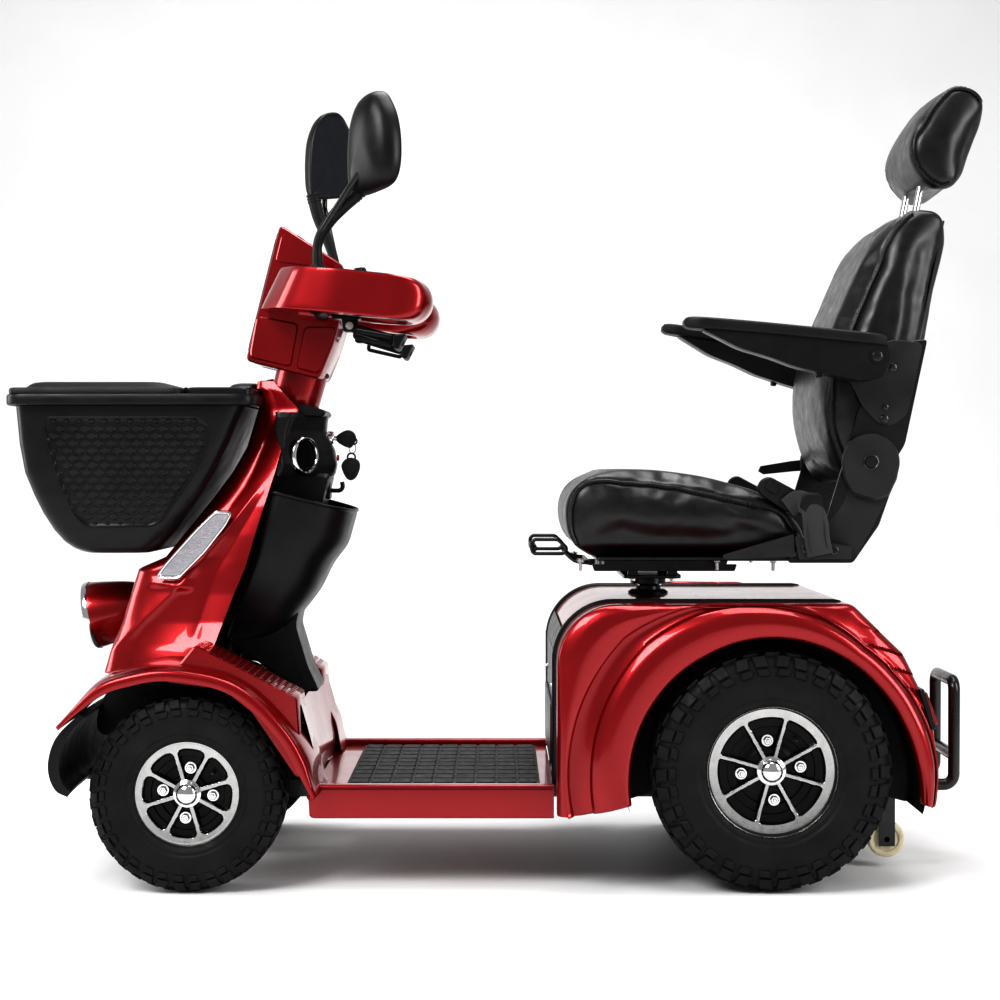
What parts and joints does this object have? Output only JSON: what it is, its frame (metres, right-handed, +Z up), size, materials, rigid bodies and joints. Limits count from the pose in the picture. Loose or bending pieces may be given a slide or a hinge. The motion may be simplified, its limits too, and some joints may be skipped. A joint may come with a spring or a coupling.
{
  "type": "mobility scooter",
  "caption": "Mobility scooter with a step-through floor, a leaning tiller with handlebar guards and mirrors, a front basket, glossy shells, knobby tyres and a swivelling padded seat.",
  "frame": {"origin": "on the ground, under the middle of the bounding box", "axes": "+Z up, the scooter faces -X, its right side is +Y"},
  "size_m": [1.712, 0.68, 1.399],
  "materials": {
    "tyre_rubber": "knobby black rubber",
    "alloy_rim": "machined silver spokes with dark windows",
    "chrome_trim": "polished chrome",
    "black_frame_paint": "black powder coat",
    "bare_steel": "zinc plated steel",
    "cast_casing": "rough cast casing",
    "battery_case": "moulded battery case",
    "red_gloss": "deep metallic red under a clear coat",
    "mat_rubber": "ribbed rubber mat",
    "black_plastic": "satin, finely grained black plastic",
    "clear_lens": "clear ribbed lens",
    "red_lens": "red lamp lens",
    "roller_cream": "cream polyurethane",
    "black_leather": "grained black upholstery with piping",
    "belt_webbing": "woven black webbing"
  },
  "bodies": {
    "chassis": {"main_frame": "black_frame_paint", "transaxle": "cast_casing", "batteries": "battery_case", "motor_controller": "cast_casing", "floor_tray": "red_gloss", "floor_mat": "mat_rubber", "front_shroud": "red_gloss", "front_fenders": "red_gloss", "front_bumper": "black_plastic", "headlight_housing": "red_gloss", "headlight_lens": "clear_lens", "turn_signals": "clear_lens", "console_cover": "black_plastic", "speaker_ring": "chrome_trim", "storage_bin": "black_plastic", "basket_body": "black_plastic", "rear_body": "red_gloss", "tail_lights": "red_lens", "rear_bumper": "black_frame_paint", "seat_post": "black_frame_paint"},
    "tiller": {"steering_column": "black_frame_paint", "tiller_head": "red_gloss", "handlebar_guard": "red_gloss", "instrument_panel": "black_plastic"},
    "knuckle_left": {"steering_knuckle_left": "black_frame_paint"},
    "knuckle_right": {"steering_knuckle_right": "black_frame_paint"},
    "tie_rod": {"tie_rod": "bare_steel"},
    "front_left_wheel": {"front_left_tyre": "tyre_rubber", "front_left_rim": "alloy_rim", "front_left_hub": "chrome_trim"},
    "front_right_wheel": {"front_right_tyre": "tyre_rubber", "front_right_rim": "alloy_rim", "front_right_hub": "chrome_trim"},
    "rear_left_wheel": {"rear_left_tyre": "tyre_rubber", "rear_left_rim": "alloy_rim", "rear_left_hub": "chrome_trim"},
    "rear_right_wheel": {"rear_right_tyre": "tyre_rubber", "rear_right_rim": "alloy_rim", "rear_right_hub": "chrome_trim"},
    "anti_tip_left": {"anti_tip_wheel_left": "roller_cream"},
    "anti_tip_right": {"anti_tip_wheel_right": "roller_cream"},
    "swivel": {"swivel_plate": "black_frame_paint"},
    "seat": {"seat_pan": "black_frame_paint", "seat_cushion": "black_leather", "seat_belt": "belt_webbing"},
    "back": {"back_frame": "black_frame_paint", "back_cushion": "black_leather"},
    "headrest": {"headrest": "black_leather"},
    "arm_left": {"armrest_left": "black_plastic"},
    "arm_right": {"armrest_right": "black_plastic"},
    "slide_release": {"slide_release_bar": "black_frame_paint"},
    "recline_release": {"recline_lever": "black_plastic"},
    "lid": {"basket_lid": "black_plastic"},
    "mirror_left": {"mirror_head_left": "black_plastic"},
    "mirror_right": {"mirror_head_right": "black_plastic"},
    "throttle": {"throttle_lever": "black_plastic"},
    "brake": {"brake_lever": "black_plastic"},
    "speed_dial": {"speed_knob": "black_plastic"},
    "key": {"ignition_key": "chrome_trim"},
    "fob": {"key_fob": "black_plastic"}
  },
  "joints": [
    {"name": "steering", "type": "hinge", "parent": "chassis", "child": "tiller", "pos_m": [-0.372, 0, 0.859], "axis": [0.2588, 0, 0.9659], "range_deg": [-30, 30]},
    {"name": "knuckle_left_turn", "type": "hinge", "parent": "chassis", "child": "knuckle_left", "pos_m": [-0.528, -0.212, 0.165], "axis": [0, 0, 1], "range_deg": [-24, 24]},
    {"name": "knuckle_right_turn", "type": "hinge", "parent": "chassis", "child": "knuckle_right", "pos_m": [-0.528, 0.212, 0.165], "axis": [0, 0, 1], "range_deg": [-24, 24]},
    {"name": "tie_rod_shift", "type": "slide", "parent": "chassis", "child": "tie_rod", "axis": [0, 1, 0], "range_m": [-0.026, 0.026]},
    {"name": "front_left_spin", "type": "hinge", "parent": "knuckle_left", "child": "front_left_wheel", "pos_m": [-0.528, -0.275, 0.165], "axis": [0, 1, 0], "continuous": true},
    {"name": "front_right_spin", "type": "hinge", "parent": "knuckle_right", "child": "front_right_wheel", "pos_m": [-0.528, 0.275, 0.165], "axis": [0, 1, 0], "continuous": true},
    {"name": "rear_left_spin", "type": "hinge", "parent": "chassis", "child": "rear_left_wheel", "pos_m": [0.446, -0.27, 0.203], "axis": [0, 1, 0], "continuous": true},
    {"name": "rear_right_spin", "type": "hinge", "parent": "chassis", "child": "rear_right_wheel", "pos_m": [0.446, 0.27, 0.203], "axis": [0, 1, 0], "continuous": true},
    {"name": "anti_tip_left_spin", "type": "hinge", "parent": "chassis", "child": "anti_tip_left", "pos_m": [0.677, -0.1, 0.052], "axis": [0, 1, 0], "continuous": true},
    {"name": "anti_tip_right_spin", "type": "hinge", "parent": "chassis", "child": "anti_tip_right", "pos_m": [0.677, 0.1, 0.052], "axis": [0, 1, 0], "continuous": true},
    {"name": "seat_swivel", "type": "hinge", "parent": "chassis", "child": "swivel", "pos_m": [0.263, 0, 0.512], "axis": [0, 0, 1], "range_deg": [-90, 90]},
    {"name": "seat_slide", "type": "slide", "parent": "swivel", "child": "seat", "axis": [1, 0, 0], "range_m": [-0.06, 0.09]},
    {"name": "back_recline", "type": "hinge", "parent": "seat", "child": "back", "pos_m": [0.6235, 0, 0.718], "axis": [0, 1, 0], "range_deg": [-15, 30]},
    {"name": "headrest_height", "type": "slide", "parent": "back", "child": "headrest", "axis": [0.2, 0, 0.9798], "range_m": [0, 0.06]},
    {"name": "armrest_left_lift", "type": "hinge", "parent": "back", "child": "arm_left", "pos_m": [0.624, -0.255, 0.895], "axis": [0, 1, 0], "range_deg": [0, 95]},
    {"name": "armrest_right_lift", "type": "hinge", "parent": "back", "child": "arm_right", "pos_m": [0.624, 0.255, 0.895], "axis": [0, 1, 0], "range_deg": [-5, 90]},
    {"name": "slide_release_pull", "type": "hinge", "parent": "seat", "child": "slide_release", "pos_m": [0.15, 0, 0.541], "axis": [0, 1, 0], "range_deg": [0, 6], "stiffness_Nm_per_rad": 1, "springref_deg": -17.19},
    {"name": "recline_lever_pull", "type": "hinge", "parent": "seat", "child": "recline_release", "pos_m": [0.6235, 0.243, 0.718], "axis": [0, 1, 0], "range_deg": [0, 20], "stiffness_Nm_per_rad": 1, "springref_deg": -17.19},
    {"name": "lid_hinge", "type": "hinge", "parent": "chassis", "child": "lid", "pos_m": [-0.549, 0, 0.842], "axis": [0, 1, 0], "range_deg": [0, 80]},
    {"name": "mirror_left_turn", "type": "hinge", "parent": "tiller", "child": "mirror_left", "pos_m": [-0.23, -0.266, 1.222], "axis": [0, 0, 1], "range_deg": [-15, 15]},
    {"name": "mirror_right_turn", "type": "hinge", "parent": "tiller", "child": "mirror_right", "pos_m": [-0.348, 0.262, 1.278], "axis": [0, 0, 1], "range_deg": [-15, 15]},
    {"name": "throttle_pull", "type": "hinge", "parent": "tiller", "child": "throttle", "pos_m": [-0.268, 0.146, 0.955], "axis": [0, -1, 0], "range_deg": [0, 15], "stiffness_Nm_per_rad": 0.5, "springref_deg": -17.19},
    {"name": "brake_pull", "type": "hinge", "parent": "tiller", "child": "brake", "pos_m": [-0.268, -0.146, 0.955], "axis": [0, -1, 0], "range_deg": [0, 15], "stiffness_Nm_per_rad": 0.5, "springref_deg": -17.19},
    {"name": "speed_dial_turn", "type": "hinge", "parent": "tiller", "child": "speed_dial", "pos_m": [-0.25, -0.15, 1.042], "axis": [0.1045, 0, 0.9945], "range_deg": [-135, 135]},
    {"name": "key_turn", "type": "hinge", "parent": "chassis", "child": "key", "pos_m": [-0.3, 0, 0.762], "axis": [1, 0, 0], "range_deg": [0, 60]},
    {"name": "fob_swing", "type": "hinge", "parent": "key", "child": "fob", "pos_m": [-0.28, 0, 0.751], "axis": [0, 1, 0], "range_deg": [-40, 5]}
  ],
  "couplings": [
    {"joint": "knuckle_left_turn", "follows": "steering", "ratio": 0.8},
    {"joint": "knuckle_right_turn", "follows": "steering", "ratio": 0.8},
    {"joint": "tie_rod_shift", "follows": "steering", "m_per_rad": 0.0491}
  ]
}
